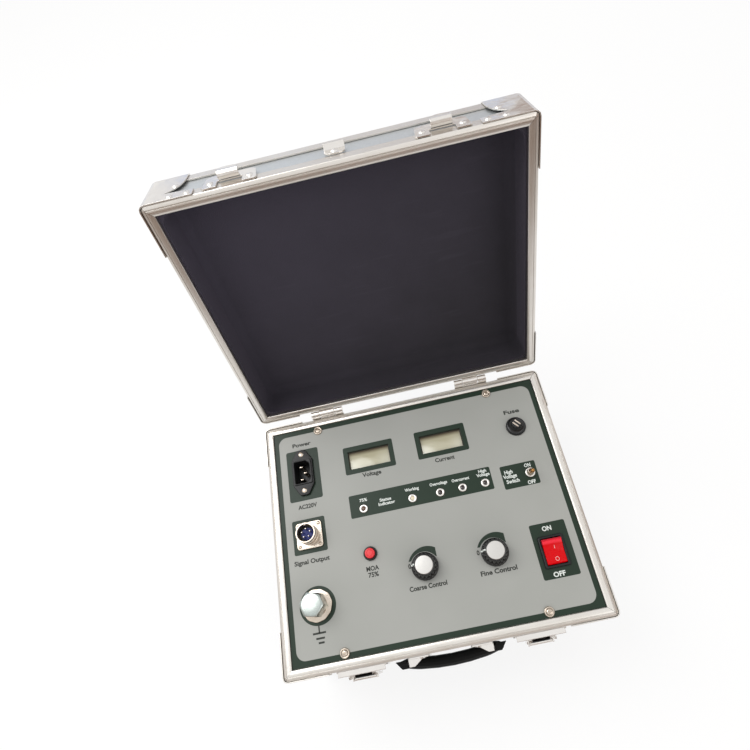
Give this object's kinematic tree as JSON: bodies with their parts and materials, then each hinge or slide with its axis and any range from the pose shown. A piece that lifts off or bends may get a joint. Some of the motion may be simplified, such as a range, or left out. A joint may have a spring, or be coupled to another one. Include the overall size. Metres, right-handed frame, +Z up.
{
  "type": "direct current high voltage tester in carrying case",
  "caption": "Portable high-voltage insulation tester: instrument panel with meters, knobs, sockets and switches in an aluminium carrying case with its lid open.",
  "frame": {"origin": "middle of the object's outline as seen from above, lid open, at the level of the feet's soles", "axes": "+Z up, -Y towards the front with the latches and the handle, +X to the right as seen from the front; the lid's hinge runs along X"},
  "size_m": [0.31, 0.3976, 0.3859],
  "materials": {
    "case_board": "fine-grained silver-grey laminate on board",
    "aluminium": "satin extrusion",
    "chrome": "bright plating",
    "lining": "near-black flock",
    "rubber": "black moulded",
    "panel_face": "dark green border with a grey field, satin",
    "black_plastic": "black moulded",
    "meter_plastic": "pale moulded bezel with a display",
    "blue_plastic": "deep blue moulded",
    "red_plastic": "red moulded",
    "zinc": "bright zinc",
    "circuit_board": "green circuit board",
    "lamination": "lacquered laminations",
    "sink_black": "black anodised"
  },
  "bodies": {
    "case": {"base_shell": "case_board", "base_rim_frame": "aluminium", "base_edge_frame": "aluminium", "panel_rails": "aluminium", "front_panel": "panel_face", "power_inlet": "black_plastic", "voltage_meter": "meter_plastic", "current_meter": "meter_plastic", "indicator_lamps": "circuit_board", "fuse_holder": "black_plastic", "high_voltage_switch": "chrome", "signal_socket": "chrome", "signal_insert": "blue_plastic", "button_bezel": "black_plastic", "coarse_potentiometer": "zinc", "fine_potentiometer": "zinc", "rocker_frame": "black_plastic", "ground_stud": "zinc", "control_board": "circuit_board", "power_transformer": "lamination", "heat_sink": "sink_black", "base_corner_front_left": "chrome", "base_corner_rear_left": "chrome", "base_corner_front_right": "chrome", "base_corner_rear_right": "chrome", "foot_front_left": "rubber", "foot_rear_left": "rubber", "foot_front_right": "rubber", "foot_rear_right": "rubber", "hinge_base_leaf_left": "chrome", "hinge_base_leaf_right": "chrome", "latch_plate_left": "chrome", "latch_plate_right": "chrome", "handle_bracket_left": "chrome", "handle_bracket_right": "chrome"},
    "lid": {"lid_shell": "case_board", "lid_rim_frame": "aluminium", "lid_edge_frame": "aluminium", "lid_lining": "lining", "lid_finger_tab": "chrome", "lid_corner_front_left": "chrome", "lid_corner_rear_left": "chrome", "lid_corner_front_right": "chrome", "lid_corner_rear_right": "chrome", "hinge_lid_leaf_left": "chrome", "hinge_lid_leaf_right": "chrome", "latch_keeper_left": "chrome", "latch_keeper_right": "chrome"},
    "latch_lever_left": {"latch_lever_left": "chrome"},
    "latch_bail_left": {"latch_bail_left": "chrome"},
    "latch_lever_right": {"latch_lever_right": "chrome"},
    "latch_bail_right": {"latch_bail_right": "chrome"},
    "handle": {"handle_grip": "black_plastic"},
    "fuse_cap": {"fuse_cap": "black_plastic"},
    "high_voltage_lever": {"high_voltage_lever": "chrome"},
    "test_button": {"test_button": "red_plastic"},
    "coarse_knob": {"coarse_knob": "black_plastic"},
    "fine_knob": {"fine_knob": "black_plastic"},
    "rocker": {"rocker_button": "red_plastic"},
    "ground_nut": {"ground_nut": "zinc"}
  },
  "joints": [
    {"name": "lid_hinge", "type": "hinge", "parent": "case", "child": "lid", "pos_m": [0, 0.07, 0.142], "axis": [1, 0, 0], "range_deg": [0, 109]},
    {"name": "latch_lever_left_pivot", "type": "hinge", "parent": "case", "child": "latch_lever_left", "pos_m": [-0.082, -0.1892, 0.124], "axis": [-1, 0, 0], "range_deg": [0, 110]},
    {"name": "latch_bail_left_pivot", "type": "hinge", "parent": "latch_lever_left", "child": "latch_bail_left", "pos_m": [-0.082, -0.1928, 0.1175], "axis": [1, 0, 0], "range_deg": [-186, 0]},
    {"name": "latch_lever_right_pivot", "type": "hinge", "parent": "case", "child": "latch_lever_right", "pos_m": [0.082, -0.1892, 0.124], "axis": [-1, 0, 0], "range_deg": [0, 110]},
    {"name": "latch_bail_right_pivot", "type": "hinge", "parent": "latch_lever_right", "child": "latch_bail_right", "pos_m": [0.082, -0.1928, 0.1175], "axis": [1, 0, 0], "range_deg": [-186, 0]},
    {"name": "handle_pivot", "type": "hinge", "parent": "case", "child": "handle", "pos_m": [0, -0.1894, 0.126], "axis": [-1, 0, 0], "range_deg": [0, 90]},
    {"name": "fuse_cap_turn", "type": "hinge", "parent": "case", "child": "fuse_cap", "pos_m": [0.1144, 0.0077, 0.1403], "axis": [0, 0, 1], "range_deg": [0, 60]},
    {"name": "high_voltage_toggle", "type": "hinge", "parent": "case", "child": "high_voltage_lever", "pos_m": [0.1144, -0.0432, 0.1428], "axis": [-1, 0, 0], "range_deg": [0, 24]},
    {"name": "test_button_travel", "type": "slide", "parent": "case", "child": "test_button", "axis": [0, 0, -1], "range_m": [0, 0.0025], "stiffness_N_per_m": 200},
    {"name": "coarse_knob_turn", "type": "hinge", "parent": "case", "child": "coarse_knob", "pos_m": [-0.007, -0.1109, 0.1415], "axis": [0, 0, 1], "range_deg": [-270, 0]},
    {"name": "fine_knob_turn", "type": "hinge", "parent": "case", "child": "fine_knob", "pos_m": [0.0602, -0.1112, 0.1415], "axis": [0, 0, 1], "range_deg": [-270, 0]},
    {"name": "rocker_tilt", "type": "hinge", "parent": "case", "child": "rocker", "pos_m": [0.1139, -0.1206, 0.1383], "axis": [-1, 0, 0], "range_deg": [0, 18]},
    {"name": "ground_nut_turn", "type": "hinge", "parent": "case", "child": "ground_nut", "pos_m": [-0.115, -0.1252, 0.142], "axis": [0, 0, 1], "range_deg": [0, 360]}
  ]
}
